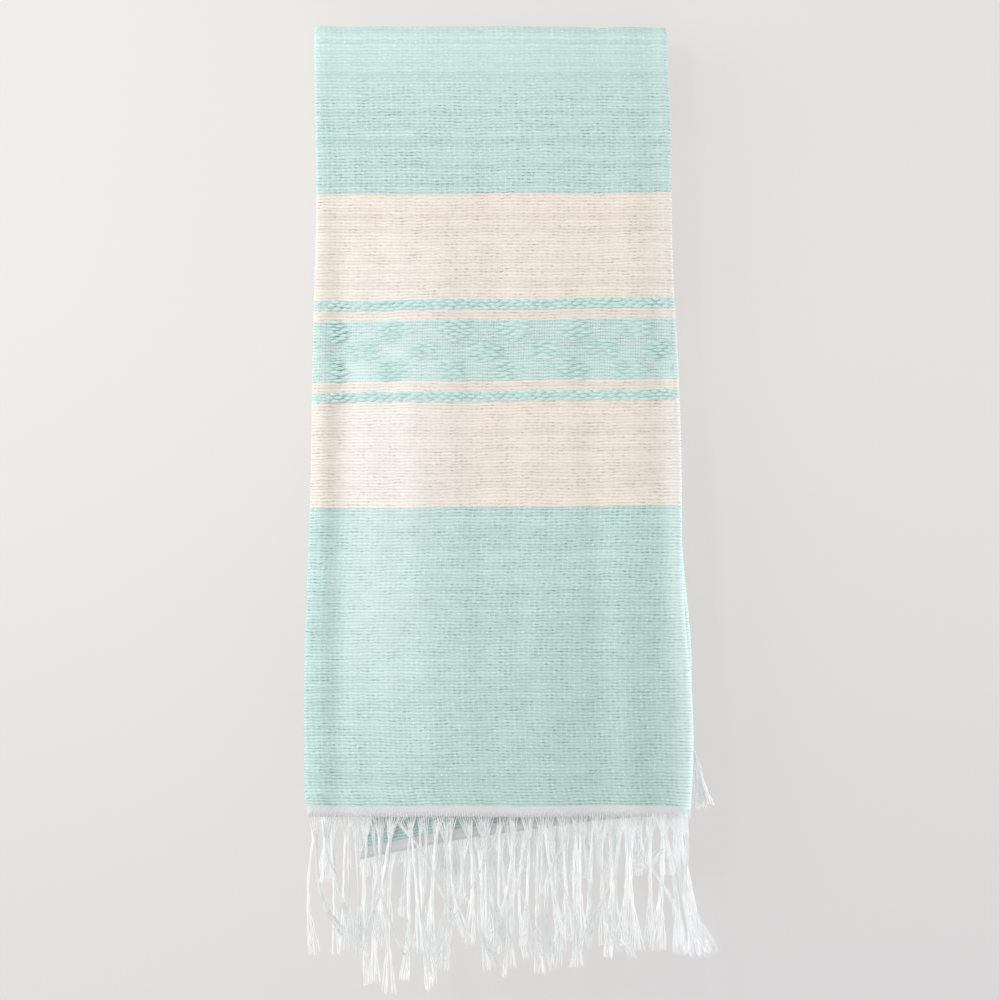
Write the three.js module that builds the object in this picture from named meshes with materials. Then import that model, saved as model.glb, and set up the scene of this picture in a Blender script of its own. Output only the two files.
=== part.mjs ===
// A flat-woven, fringed towel: one length of cloth, folded in thirds and hung at its middle over a rail.
// Millimetres. +Z is up, +X is to the right, and the front leaf faces -Y. The origin is the top of the
// rail, where the inside of the top fold sits on it.
//
// Across its width the cloth is folded twice. Seen from above, on the front leaf, which faces down here:
//
//      _____________________________      wrap, folded last, about the right edge, nearest the rail
//     ____________________________  )     tucked, folded first, about the left edge
//    (______________________________)     panel, outermost, the face that shows
//
// Along its length it goes down the front leaf, over the rail and down the back leaf. It is divided
// wherever the yarn of the weft changes, and the warp ends of its two hems hang as bundles of fringe.

import * as THREE from 'three';

// ---- The cloth and its folds ---------------------------------------------------------------------

const CLOTH_THICKNESS = 1.2;
const WIDTH_TOP = 195; // left fold edge to right fold edge, over the rail
const LEFT_FLARE = 4.7; // how far each fold edge has wandered outwards at the hem
const RIGHT_FLARE = 13.2;
const TUCKED_INSET = 4; // the tucked selvedge lies this far inside the right edge, over the rail
const WRAP_INSET = 1; // the wrap's selvedge lies this far inside the left edge, over the rail
const LAYER_PITCH_TOP = 2; // between neighbouring layers, over the rail
const LAYER_PITCH_HEM = 3.6; // and at the hems, where nothing presses them together
const CUT_GAP = 0.3; // left between neighbouring stretches of the cloth

// ---- The hang ------------------------------------------------------------------------------------

const RAIL_RADIUS = 6;
const FRONT_LEAN = 10; // how far each leaf has come away from the rail at its hem
const BACK_LEAN = 4;
const WRAP_DROP = 23.6; // the wrap's corner hangs this much below its hem at the right edge
const WRAP_DROP_POWER = 1.6; // how late the wrap's hem turns down on its way to that corner
const TUCKED_RISE = 5; // the tucked corner ends this much above its hem at the left edge

// ---- The stripes ---------------------------------------------------------------------------------

const FRONT_TOP_FIELD_HEIGHT = 80.3; // from the rail's axis down to the first stripe
const BACK_TOP_FIELD_HEIGHT = 40.3; // the towel hangs a little longer in front
const CREAM_HEIGHT = 58.3;
const THIN_STRIPE_HEIGHT = 5.5;
const SPACER_HEIGHT = 5.8;
const PATTERN_BAND_HEIGHT = 33.5;
const END_FIELD_HEIGHT = 164;
const HEADER_HEIGHT = 6;

// ---- The fringe ----------------------------------------------------------------------------------

const FRINGE_LENGTH = 72;
const FRINGE_LENGTH_SPREAD = 3; // bundles end up to this much above or below that
const BUNDLE_GATHER = 0.8; // share of its stretch of hem that a bundle gathers
const BUNDLE_NECK = 5.5; // width where its threads have come together
const BUNDLE_TIP = 8; // width of its loose end
const BUNDLE_CLEARANCE = 1; // left between bundles of neighbouring layers
const BUNDLE_DRIFT = 3; // how far a tip wanders sideways
const DRIFT_TURN = 2.4; // radians from one bundle to the next, so that neighbours wander differently
const LENGTH_TURN = 1.7;
const STRAY_DRIFT = 20; // how far the back panel's last bundle stands out beside the towel
const BUNDLE_COUNTS = {
  front: { panel: 10, tucked: 4, wrap: 6 },
  back: { panel: 8, tucked: 4, wrap: 4 },
};

// ---- Fineness of the solids ----------------------------------------------------------------------

const ARCH_STEPS = 9; // odd, so that one flat facet lies right on top of the rail
const TIGHT_TURN_STEPS = 6;
const WIDE_TURN_STEPS = 8;
const PANEL_STEPS = 2;
const TUCKED_STEPS = 3;
const WRAP_STEPS = 6;
const LONGEST_LOFT = 60; // a longer stretch of cloth is lofted in several steps
const BUNDLE_SIDES = 6;
const NECK_AT = 0.35; // share of a bundle's length where its threads have come together
const BUNDLE_RINGS = [0, 0.15, NECK_AT, 0.7, 1];

// ---- Sizes that follow from those ----------------------------------------------------------------

const HALF_THICKNESS = CLOTH_THICKNESS / 2;
const ARCH_RADIUS = RAIL_RADIUS / Math.cos(Math.PI / 2 / ARCH_STEPS); // so that its facets touch the rail
const STRIPED_HEIGHT = 2 * (CREAM_HEIGHT + THIN_STRIPE_HEIGHT + SPACER_HEIGHT)
  + PATTERN_BAND_HEIGHT + END_FIELD_HEIGHT + HEADER_HEIGHT;
const BUNDLE_THICKNESS = LAYER_PITCH_HEM - BUNDLE_CLEARANCE;

const LEAVES = {
  front: { outward: -1, topField: FRONT_TOP_FIELD_HEIGHT, lean: FRONT_LEAN },
  back: { outward: 1, topField: BACK_TOP_FIELD_HEIGHT, lean: BACK_LEAN },
};

for (const leaf of Object.values(LEAVES)) {
  leaf.reach = leaf.topField + STRIPED_HEIGHT; // from the rail's axis down to the hem
}

// From the top of a leaf to its hem: name, height and weft.
const stripesOf = (leaf) => [
  ['top_field', leaf.topField, 'mint_weft'],
  ['upper_cream_stripe', CREAM_HEIGHT, 'cream_weft'],
  ['upper_thin_stripe', THIN_STRIPE_HEIGHT, 'pattern_weft'],
  ['upper_spacer', SPACER_HEIGHT, 'cream_weft'],
  ['pattern_band', PATTERN_BAND_HEIGHT, 'pattern_weft'],
  ['lower_spacer', SPACER_HEIGHT, 'cream_weft'],
  ['lower_thin_stripe', THIN_STRIPE_HEIGHT, 'pattern_weft'],
  ['lower_cream_stripe', CREAM_HEIGHT, 'cream_weft'],
  ['end_field', END_FIELD_HEIGHT, 'mint_weft'],
  ['header', HEADER_HEIGHT, 'white_warp'],
];

const COLOURS = {
  mint_weft: '#c8e1da',
  pattern_weft: '#bfe0d6',
  cream_weft: '#eee6dc',
  white_warp: '#f0f2f1',
};

const mix = (a, b, share) => a + (b - a) * share;

// ---- The folded section --------------------------------------------------------------------------

// The places of the folds and layers at a share of the way from the rail to a hem. x runs to the right,
// and out is the distance from the face of the cloth that is nearest the rail.
function foldsAt(share) {
  const pitch = mix(LAYER_PITCH_TOP, LAYER_PITCH_HEM, share);
  const left = -WIDTH_TOP / 2 - LEFT_FLARE * share ** 2;
  const right = WIDTH_TOP / 2 + RIGHT_FLARE * share;
  return {
    pitch,
    tightTurn: left + HALF_THICKNESS + pitch / 2,
    wideTurn: right - HALF_THICKNESS - pitch,
    tuckedEnd: WIDTH_TOP / 2 - TUCKED_INSET - 2 * LEFT_FLARE * share ** 2,
    out: {
      wrap: HALF_THICKNESS,
      tucked: HALF_THICKNESS + pitch,
      panel: HALF_THICKNESS + 2 * pitch,
    },
  };
}

// The cloth's width from the tucked selvedge to the end of the wide turn, where the wrap begins.
function widthBeforeWrap({ pitch, tightTurn, wideTurn, tuckedEnd }) {
  const turns = Math.PI * pitch / 2 + Math.PI * pitch;
  return tuckedEnd - tightTurn + wideTurn - tightTurn + turns;
}

const foldsTop = foldsAt(0);
const FLAT_WIDTH = widthBeforeWrap(foldsTop) + foldsTop.wideTurn + WIDTH_TOP / 2 - WRAP_INSET;

const wrapWidth = (folds) => FLAT_WIDTH - widthBeforeWrap(folds);

// How much lower than at its fold a hem lies, at a share of the way from the fold to the selvedge.
function hemDrop(layer, place) {
  const drops = {
    wrap: WRAP_DROP * place ** WRAP_DROP_POWER,
    tucked: -TUCKED_RISE * place,
  };
  return drops[layer] ?? 0;
}

// A straight layer of the section. places are the shares of the way to the selvedge at its two ends.
function flatRun(layer, [from, to], places, steps, out, normal) {
  return Array.from({ length: steps + 1 }, (_, i) => {
    const drop = hemDrop(layer, mix(...places, i / steps));
    return { x: mix(from, to, i / steps), out, normal: [0, normal], drop };
  });
}

// The points strictly between the two ends of a half turn.
function halfTurn(centre, out, radius, from, to, steps) {
  return Array.from({ length: steps - 1 }, (_, i) => {
    const angle = mix(from, to, (i + 1) / steps);
    const normal = [Math.cos(angle), Math.sin(angle)];
    return { x: centre + radius * normal[0], out: out + radius * normal[1], normal, drop: 0 };
  });
}

// The middle of the cloth's thickness from the tucked selvedge, round both folds, to the wrap's selvedge.
// Every point has the direction of the face that shows outside.
function foldedSection(share) {
  const folds = foldsAt(share);
  const { pitch, tightTurn, wideTurn, tuckedEnd, out } = folds;
  const wrapEnd = wideTurn - wrapWidth(folds);
  const [up, down] = [Math.PI / 2, -Math.PI / 2];
  return [
    ...flatRun('tucked', [tuckedEnd, tightTurn], [1, 0], TUCKED_STEPS, out.tucked, -1),
    ...halfTurn(tightTurn, out.tucked + pitch / 2, pitch / 2, down + 2 * Math.PI, up, TIGHT_TURN_STEPS),
    ...flatRun('panel', [tightTurn, wideTurn], [0, 0], PANEL_STEPS, out.panel, 1),
    ...halfTurn(wideTurn, out.tucked, pitch, up, down, WIDE_TURN_STEPS),
    ...flatRun('wrap', [wideTurn, wrapEnd], [0, 1], WRAP_STEPS, out.wrap, -1),
  ];
}

// ---- Solids --------------------------------------------------------------------------------------

// A mesh from shared points and faces of three or four corners that all turn the same way round.
function solid(name, points, faces, slot) {
  const index = faces.flatMap(([a, b, c, d]) => (d === undefined ? [a, b, c] : [a, b, c, a, c, d]));
  let volume = 0;
  for (let i = 0; i < index.length; i += 3) {
    const [a, b, c] = index.slice(i, i + 3).map((k) => points[k]);
    volume += a.dot(new THREE.Vector3().crossVectors(b, c)) / 6;
  }
  if (volume < 0) {
    index.reverse();
  }
  const geometry = new THREE.BufferGeometry().setFromPoints(points);
  geometry.setIndex(index);
  geometry.computeVertexNormals();
  const look = new THREE.MeshStandardMaterial({ color: COLOURS[slot], roughness: 0.9, metalness: 0 });
  const mesh = new THREE.Mesh(geometry, look);
  mesh.name = name;
  return mesh;
}

// Cloth of even thickness through a list of stations, each a list of [inner, outer] points.
function ribbon(name, stations, slot) {
  const along = stations.length;
  const across = stations[0].length;
  const face = (side) => stations.flatMap((station) => station.map((pair) => pair[side]));
  const points = [...face(0), ...face(1)];
  const at = (side, j, i) => (side * along + j) * across + i;
  const faces = [];
  for (let j = 0; j + 1 < along; j += 1) {
    for (let i = 0; i + 1 < across; i += 1) {
      faces.push([at(0, j, i), at(0, j, i + 1), at(0, j + 1, i + 1), at(0, j + 1, i)]);
      faces.push([at(1, j, i), at(1, j + 1, i), at(1, j + 1, i + 1), at(1, j, i + 1)]);
    }
  }
  const [lastJ, lastI] = [along - 1, across - 1];
  for (let i = 0; i < lastI; i += 1) {
    faces.push([at(0, 0, i + 1), at(0, 0, i), at(1, 0, i), at(1, 0, i + 1)]);
    faces.push([at(0, lastJ, i), at(0, lastJ, i + 1), at(1, lastJ, i + 1), at(1, lastJ, i)]);
  }
  for (let j = 0; j < lastJ; j += 1) {
    faces.push([at(0, j, 0), at(0, j + 1, 0), at(1, j + 1, 0), at(1, j, 0)]);
    faces.push([at(0, j + 1, lastI), at(0, j, lastI), at(1, j, lastI), at(1, j + 1, lastI)]);
  }
  return solid(name, points, faces, slot);
}

// Rings of equally many points, closed at both ends.
function bundle(name, rings, slot) {
  const sides = rings[0].length;
  const faces = [];
  for (let r = 0; r + 1 < rings.length; r += 1) {
    for (let k = 0; k < sides; k += 1) {
      const next = (k + 1) % sides;
      faces.push([r * sides + k, r * sides + next, (r + 1) * sides + next, (r + 1) * sides + k]);
    }
  }
  const last = (rings.length - 1) * sides;
  for (let k = 1; k + 1 < sides; k += 1) {
    faces.push([0, k + 1, k]);
    faces.push([last, last + k, last + k + 1]);
  }
  return solid(name, rings.flat(), faces, slot);
}

// ---- Placing the cloth ---------------------------------------------------------------------------

function onLeaf(leaf, x, out, depth) {
  const lean = leaf.lean * Math.min(1, depth / leaf.reach);
  return new THREE.Vector3(x, leaf.outward * (ARCH_RADIUS + lean + out), -RAIL_RADIUS - depth);
}

// A level across one leaf, depth below the rail's axis.
function leafStation(leaf, depth) {
  const share = depth / leaf.reach;
  return foldedSection(share).map(({ x, out, normal, drop }) => (
    [-HALF_THICKNESS, HALF_THICKNESS].map((off) => (
      onLeaf(leaf, x + off * normal[0], out + off * normal[1], depth + drop * share)
    ))
  ));
}

// The section over the rail, turned from the front leaf (0) to the back leaf (half a turn).
function archStation(angle) {
  return foldedSection(0).map(({ x, out, normal }) => (
    [-HALF_THICKNESS, HALF_THICKNESS].map((off) => {
      const radius = ARCH_RADIUS + out + off * normal[1];
      const y = -radius * Math.cos(angle);
      const z = -RAIL_RADIUS + radius * Math.sin(angle);
      return new THREE.Vector3(x + off * normal[0], y, z);
    })
  ));
}

// ---- The towel -----------------------------------------------------------------------------------

function topFold() {
  const angles = Array.from({ length: ARCH_STEPS + 1 }, (_, j) => Math.PI * j / ARCH_STEPS);
  return ribbon('top_fold', angles.map(archStation), 'mint_weft');
}

function leafStripes(side) {
  const leaf = LEAVES[side];
  let start = 0;
  return stripesOf(leaf).map(([name, height, slot]) => {
    const steps = Math.ceil(height / LONGEST_LOFT);
    const [from, to] = [start + CUT_GAP, start + height];
    const depths = Array.from({ length: steps + 1 }, (_, j) => mix(from, to, j / steps));
    start = to;
    return ribbon(`${side}_${name}`, depths.map((depth) => leafStation(leaf, depth)), slot);
  });
}

// Where a layer's hem begins at its fold and where it ends.
function hemEnds(layer) {
  const folds = foldsAt(1);
  const ends = {
    panel: [folds.tightTurn, folds.wideTurn],
    tucked: [folds.tightTurn, folds.tuckedEnd],
    wrap: [folds.wideTurn, folds.wideTurn - wrapWidth(folds)],
  };
  return ends[layer];
}

// A bundle gathers threads from its stretch of hem, and its loose end opens a little.
function bundleWidth(share, gathered) {
  if (share < NECK_AT) {
    return mix(gathered, BUNDLE_NECK, share / NECK_AT);
  }
  return mix(BUNDLE_NECK, BUNDLE_TIP, (share - NECK_AT) / (1 - NECK_AT));
}

// Numbered from the left.
function fringeBundle(side, layer, number) {
  const leaf = LEAVES[side];
  const count = BUNDLE_COUNTS[side][layer];
  const [fold, end] = hemEnds(layer);
  const dropAt = (x) => hemDrop(layer, Math.max(0, (x - fold) / (end - fold)));
  const spacing = Math.abs(end - fold) / count;
  const hemX = Math.min(fold, end) + spacing * (number - 0.5);
  const stray = side === 'back' && layer === 'panel' && number === count;
  const drift = stray ? STRAY_DRIFT : BUNDLE_DRIFT * Math.sin(DRIFT_TURN * number);
  const length = FRINGE_LENGTH + FRINGE_LENGTH_SPREAD * Math.sin(LENGTH_TURN * number);
  const out = foldsAt(1).out[layer];
  const rings = BUNDLE_RINGS.map((share) => Array.from({ length: BUNDLE_SIDES }, (_, k) => {
    const angle = 2 * Math.PI * k / BUNDLE_SIDES;
    const halfWidth = bundleWidth(share, BUNDLE_GATHER * spacing) / 2;
    const halfDepth = mix(CLOTH_THICKNESS, BUNDLE_THICKNESS, Math.min(1, share / NECK_AT)) / 2;
    const x = hemX + drift * share + halfWidth * Math.cos(angle);
    const depth = leaf.reach + CUT_GAP + mix(dropAt(x), dropAt(hemX), share) + length * share;
    return onLeaf(leaf, x, out + halfDepth * Math.sin(angle), depth);
  }));
  return bundle(`${side}_fringe_${layer}_${number}`, rings, 'white_warp');
}

function leafFringe(side) {
  return Object.entries(BUNDLE_COUNTS[side]).flatMap(([layer, count]) => (
    Array.from({ length: count }, (_, i) => fringeBundle(side, layer, i + 1))
  ));
}

const towel = new THREE.Group();
towel.add(topFold());
for (const side of ['front', 'back']) {
  const leaf = new THREE.Group();
  leaf.name = `${side}_leaf`;
  leaf.add(...leafStripes(side), ...leafFringe(side));
  towel.add(leaf);
}

export default towel;
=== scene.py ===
"""A flat-woven, fringed towel, folded in thirds and hung over a rail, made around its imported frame.

Lengths are in metres. Across the flat cloth, u runs from the selvedge of the tucked third to that of the
wrap; along it, v runs from the front hem, over the rail, to the back hem.
"""

import math

import bpy
import numpy as np
from bpy.props import FloatProperty, FloatVectorProperty, IntProperty, PointerProperty
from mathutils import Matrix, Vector


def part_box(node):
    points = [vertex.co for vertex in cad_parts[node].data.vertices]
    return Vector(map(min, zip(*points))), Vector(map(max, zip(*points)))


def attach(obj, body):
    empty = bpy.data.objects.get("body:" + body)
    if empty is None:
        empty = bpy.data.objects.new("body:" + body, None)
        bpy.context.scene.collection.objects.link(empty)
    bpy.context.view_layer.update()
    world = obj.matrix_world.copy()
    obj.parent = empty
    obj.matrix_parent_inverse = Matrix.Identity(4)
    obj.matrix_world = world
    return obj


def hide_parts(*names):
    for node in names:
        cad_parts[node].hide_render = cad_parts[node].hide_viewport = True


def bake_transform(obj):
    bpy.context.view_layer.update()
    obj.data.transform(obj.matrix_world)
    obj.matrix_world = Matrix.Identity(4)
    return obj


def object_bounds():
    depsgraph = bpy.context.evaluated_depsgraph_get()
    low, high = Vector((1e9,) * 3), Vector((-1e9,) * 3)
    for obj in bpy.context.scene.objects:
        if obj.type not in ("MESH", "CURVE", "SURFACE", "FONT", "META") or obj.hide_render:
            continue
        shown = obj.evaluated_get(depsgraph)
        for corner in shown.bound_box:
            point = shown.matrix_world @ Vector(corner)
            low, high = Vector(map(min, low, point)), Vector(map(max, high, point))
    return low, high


bl_info = {
    "name": "Fringed Hanging Towel",
    "version": (1, 0, 0),
    "blender": (4, 5, 0),
    "location": "3D View > Sidebar > Towel",
    "description": "Makes a flat-woven, fringed towel that is folded in thirds and hung over a rail",
    "category": "Object",
}

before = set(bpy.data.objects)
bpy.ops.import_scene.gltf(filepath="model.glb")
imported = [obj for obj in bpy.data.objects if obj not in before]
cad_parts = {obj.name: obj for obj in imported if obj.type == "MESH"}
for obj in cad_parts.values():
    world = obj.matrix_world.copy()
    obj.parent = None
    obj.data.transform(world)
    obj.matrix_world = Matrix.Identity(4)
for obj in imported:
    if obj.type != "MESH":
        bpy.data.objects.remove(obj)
CAD_BOX = [list(corner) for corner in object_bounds()]

MM = 0.001
SIDES = ("front", "back")
LAYERS = ("panel", "tucked", "wrap")
STRIPES = (
    "top_field", "upper_cream_stripe", "upper_thin_stripe", "upper_spacer", "pattern_band",
    "lower_spacer", "lower_thin_stripe", "lower_cream_stripe", "end_field", "header",
)  # fmt: skip
PACKED_THICKNESS = 0.0012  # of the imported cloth


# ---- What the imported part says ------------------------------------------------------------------


def lower_level(node):
    """Height of a stripe's lower edge on the panel, which is where its solid reaches furthest left."""
    points = np.array([v.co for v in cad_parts[node].data.vertices])
    return float(points[points[:, 0].argmin(), 2])


class Rail:
    """The fold over the rail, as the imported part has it."""

    low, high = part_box("top_fold")
    axis = low.z  # height of the rail's axis
    left, right = low.x, high.x
    outside = high.y  # from the rail's axis to the outside of the fold


class Leaf:
    """One leaf of the towel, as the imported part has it."""

    def __init__(self, side, sizes):
        low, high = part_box(f"{side}_header")
        self.side = side
        self.outward = -1 if side == "front" else 1
        self.reach = Rail.axis - lower_level(f"{side}_header")
        self.left, self.right = low.x, high.x
        self.inner = Rail.outside - 2 * sizes.layer_pitch_top - PACKED_THICKNESS
        outermost = high.y if side == "back" else -low.y
        self.lean = outermost - self.inner - 2 * sizes.layer_pitch_hem - PACKED_THICKNESS
        self.half = PACKED_THICKNESS / 2

    def levels(self):
        """Heights of the stripes' edges above the hem, from the top field's lower edge down."""
        hem = lower_level(f"{self.side}_header")
        return {name: lower_level(f"{self.side}_{name}") - hem for name in STRIPES}


# ---- How the cloth is folded --------------------------------------------------------------------


def mix(a, b, share):
    return a + (b - a) * share


def hump(x, middle, width):
    return np.exp(-(((x - middle) / width) ** 2))


def humps(x, rows, start=0.0):
    """A sum of humps, each given as its height, middle and width."""
    return sum((height * hump(x, middle, width) for height, middle, width in rows), start)


def smooth_step(x, low, high):
    t = np.clip((x - low) / (high - low), 0, 1)
    return t * t * (3 - 2 * t)


class Fold:
    """The section of the folded towel on one leaf, at any share of the way from the rail to the hem."""

    TUCKED_INSET, WRAP_INSET = 4 * MM, 1 * MM
    WRAP_DROP, WRAP_DROP_POWER, TUCKED_RISE = 23.6 * MM, 1.6, 5 * MM
    # How the fold edges stray, in mm, along the share of the way down
    LEFT_STRAY = (1.6, 0.2, 0.14), (-1.8, 0.8, 0.15), (1.8, 1.0, 0.022)
    RIGHT_STRAY = (1.9, 0.86, 0.1), (-1.2, 1.0, 0.04)
    # Lengthwise ridges and hollows, in shares of the relief depth, along x in mm
    RIDGES = (
        (0.6, -92.5, 4.2), (-0.6, -82, 6), (1.25, -36, 25), (0.3, 24, 17),
        (-0.45, 58, 11), (0.35, 77, 8), (-0.5, 93, 9),
    )  # fmt: skip

    def __init__(self, leaf, sizes):
        self.leaf, self.sizes = leaf, sizes
        self.flat_width = self._flat_width()

    def _edges(self, share):
        leaf = self.leaf
        left = Rail.left + (leaf.left - Rail.left) * share**2
        right = Rail.right + (leaf.right - Rail.right) * share
        return left, right

    def _wander(self, share):
        """How far the two fold edges stray from their even run."""
        ripple = 0.7 * np.sin(15 * share + 0.5) * smooth_step(share, 0.0, 0.1)
        return humps(share, self.LEFT_STRAY) * MM, humps(share, self.RIGHT_STRAY, ripple) * MM

    def places(self, share, wander=True):
        """Where the turns and selvedges are, and how far out each layer lies."""
        sizes, half = self.sizes, self.leaf.half
        pitch = mix(sizes.layer_pitch_top, sizes.layer_pitch_hem, share)
        left, right = self._edges(share)
        drift = left - Rail.left
        if wander:
            left_wander, right_wander = self._wander(share)
            left, right = left + left_wander, right + right_wander
        out = {"wrap": half, "tucked": half + pitch, "panel": half + 2 * pitch}
        return {
            "pitch": pitch,
            "tight": left + half + pitch / 2,
            "wide": right - half - pitch,
            "tucked_end": Rail.right - self.TUCKED_INSET + 2 * drift,
            "out": out,
        }

    def _before_wrap(self, p):
        turns = 1.5 * math.pi * p["pitch"]
        return p["tucked_end"] - p["tight"] + p["wide"] - p["tight"] + turns

    def _flat_width(self):
        p = self.places(0.0, wander=False)
        return self._before_wrap(p) + p["wide"] - Rail.left - self.WRAP_INSET

    def drop(self, layer, place):
        """How much lower than at its fold a hem hangs, place being the share of the way to the selvedge."""
        if layer == "wrap":
            return self.WRAP_DROP * place**self.WRAP_DROP_POWER
        return -self.TUCKED_RISE * place if layer == "tucked" else 0.0 * place

    def hem_ends(self, layer):
        """x of a layer's hem at its fold and at its other end."""
        p = self.places(1.0)
        wrap_end = p["wide"] - (self.flat_width - self._before_wrap(p))
        ends = {
            "panel": (p["tight"], p["wide"]),
            "tucked": (p["tight"], p["tucked_end"]),
            "wrap": (p["wide"], wrap_end),
        }
        return ends[layer]

    def section(self, share, counts):
        """x, out, u and drop of every column of the mesh, for a column of shares."""
        share = np.asarray(share, float).reshape(-1, 1)
        p = self.places(share)
        pitch, tight, wide, end = p["pitch"], p["tight"], p["wide"], p["tucked_end"]
        run = {name: np.linspace(0, 1, n + 1)[None, :] for name, n in counts.items()}
        one = np.ones_like(share)

        tucked_length = end - tight
        tucked = (end - tucked_length * run["tucked"], p["out"]["tucked"] * np.ones_like(run["tucked"]))
        tucked_u = tucked_length * run["tucked"]

        angle = mix(1.5 * math.pi, 0.5 * math.pi, run["tight"])[:, 1:-1]
        tight_turn = (tight + pitch / 2 * np.cos(angle), p["out"]["tucked"] + pitch / 2 * (1 + np.sin(angle)))
        tight_u = tucked_length + math.pi * pitch / 2 * run["tight"][:, 1:-1]

        panel_length = wide - tight
        panel = (tight + panel_length * run["panel"], p["out"]["panel"] * np.ones_like(run["panel"]))
        panel_u = tucked_length + math.pi * pitch / 2 + panel_length * run["panel"]

        angle = mix(0.5 * math.pi, -0.5 * math.pi, run["wide"])[:, 1:-1]
        wide_turn = (wide + pitch * np.cos(angle), p["out"]["tucked"] + pitch * np.sin(angle))
        wide_u = panel_u[:, -1:] + math.pi * pitch * run["wide"][:, 1:-1]

        before = self._before_wrap(p)
        wrap_length = self.flat_width - before
        wrap = (wide - wrap_length * run["wrap"], p["out"]["wrap"] * np.ones_like(run["wrap"]) * one)
        wrap_u = before + wrap_length * run["wrap"]

        none = [np.zeros_like(part[0]) for part in (tight_turn, panel, wide_turn)]
        drops = [self.drop("tucked", 1 - run["tucked"]) * one, *none, self.drop("wrap", run["wrap"]) * one]
        parts = (tucked, tight_turn, panel, wide_turn, wrap)
        x = np.hstack([part[0] for part in parts])
        out = np.hstack([part[1] * one for part in parts])
        u = np.hstack([tucked_u, tight_u, panel_u, wide_u, wrap_u])
        return x, out, u, np.hstack(drops)

    def worn(self, x, share):
        """How much paler the cloth is along its two fold edges: a painted highlight where light catches the
        folds.
        """
        p = self.places(np.asarray(share, float).reshape(-1, 1))
        wide = 1 - smooth_step(p["wide"] + p["pitch"] - x, 1.5 * MM, 13 * MM)
        tight = 1 - smooth_step(x - p["tight"] + p["pitch"] / 2, 1 * MM, 6 * MM)
        low = smooth_step(np.asarray(share).reshape(-1, 1), 0.3, 0.8)
        return wide * mix(0.3, 0.8, low) + 0.1 * tight

    def relief(self, x, share):
        """Soft lengthwise ridges and hollows, which all three layers share."""
        x = np.asarray(x) / MM
        swell = 0.75 + 0.25 * np.sin(7 * share + 0.03 * x)
        unevenness = 0.1 * np.sin(0.21 * x + 23 * share) * np.sin(0.08 * x - 31 * share + 1.0)
        depth = self.sizes.relief_depth * mix(0.22, 1.0, smooth_step(share, 0.05, 0.5))
        return depth * (humps(x, self.RIDGES) * swell + unevenness * 1.5)

    def sag(self, x, share):
        """How far a point lies below its level: the weft runs uphill, and the hem droops at the right."""
        x = np.asarray(x)
        slope = -0.011 * x * hump(share, 0.42, 0.3)
        ripple = 0.25 * MM * np.sin(x / MM * 0.07 + 19 * share)
        droop = 1.5 * MM * np.clip((x / MM - 84) / 26, 0, 1) ** 2 * smooth_step(share, 0.93, 1.0)
        return (slope + ripple) * smooth_step(share, 0.0, 0.12) + droop

    def point(self, x, out, depth, drop=0.0):
        """The place of a point on this leaf, depth below the rail's axis."""
        leaf = self.leaf
        share = np.clip(depth / leaf.reach, 0, 1)
        off = leaf.inner + leaf.lean * share + out + self.relief(x, share)
        z = Rail.axis - depth - drop * share - self.sag(x, share)
        return np.stack(np.broadcast_arrays(x, leaf.outward * off, z), axis=-1)


def over_rail(fold, x, out, angle):
    """The place of a point over the rail, from the front leaf (0) to the back leaf (half a turn)."""
    wave = 0.25 * MM * np.sin(x / MM * 0.062 + 0.8) + 0.12 * MM * np.sin(x / MM * 0.19)
    wave = (wave + 1.5 * MM) * np.sin(angle)  # the fold lies a little loose on the rail
    radius = fold.leaf.inner + out + fold.relief(x, 0.0) + wave * np.sin(angle)
    return np.stack([x + 0 * radius, -radius * np.cos(angle), Rail.axis + radius * np.sin(angle)], axis=-1)


# ---- Shader expressions -------------------------------------------------------------------------


def maths_of(operation, turned=False):
    """An operator that adds a Math node; turned puts the other term first."""

    def add_maths(self, *others):
        terms = (*others, self) if turned else (self, *others)
        return self.finish.maths(operation, *terms)

    return add_maths


class Wire:
    """A shader socket; sums written with it add Math nodes."""

    def __init__(self, finish, socket):
        self.finish, self.socket = finish, socket

    __add__ = __radd__ = maths_of("ADD")
    __mul__ = __rmul__ = maths_of("MULTIPLY")
    __sub__, __rsub__ = maths_of("SUBTRACT"), maths_of("SUBTRACT", turned=True)
    __truediv__, __pow__, __abs__ = maths_of("DIVIDE"), maths_of("POWER"), maths_of("ABSOLUTE")
    floor, fract = maths_of("FLOOR"), maths_of("FRACT")
    least, most = maths_of("MINIMUM"), maths_of("MAXIMUM")

    def clipped(self):
        return self.least(1.0).most(0.0)

    def rise(self, low, high):
        """0 below low, 1 above high and smooth between."""
        inputs = {"Value": self, "From Min": low, "From Max": high}
        return self.finish.node("ShaderNodeMapRange", {"interpolation_type": "SMOOTHSTEP"}, inputs)


def added_node(tree, kind, settings, inputs):
    """A new node: its settings first, then the values and links of its sockets."""
    made = tree.nodes.new(kind)
    for name, value in (settings or {}).items():
        setattr(made, name, value)
    for key, value in (inputs or {}).items():
        value = value.socket if isinstance(value, Wire) else value
        if isinstance(value, bpy.types.NodeSocket):
            tree.links.new(value, made.inputs[key])
        else:
            made.inputs[key].default_value = value
    return made


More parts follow.
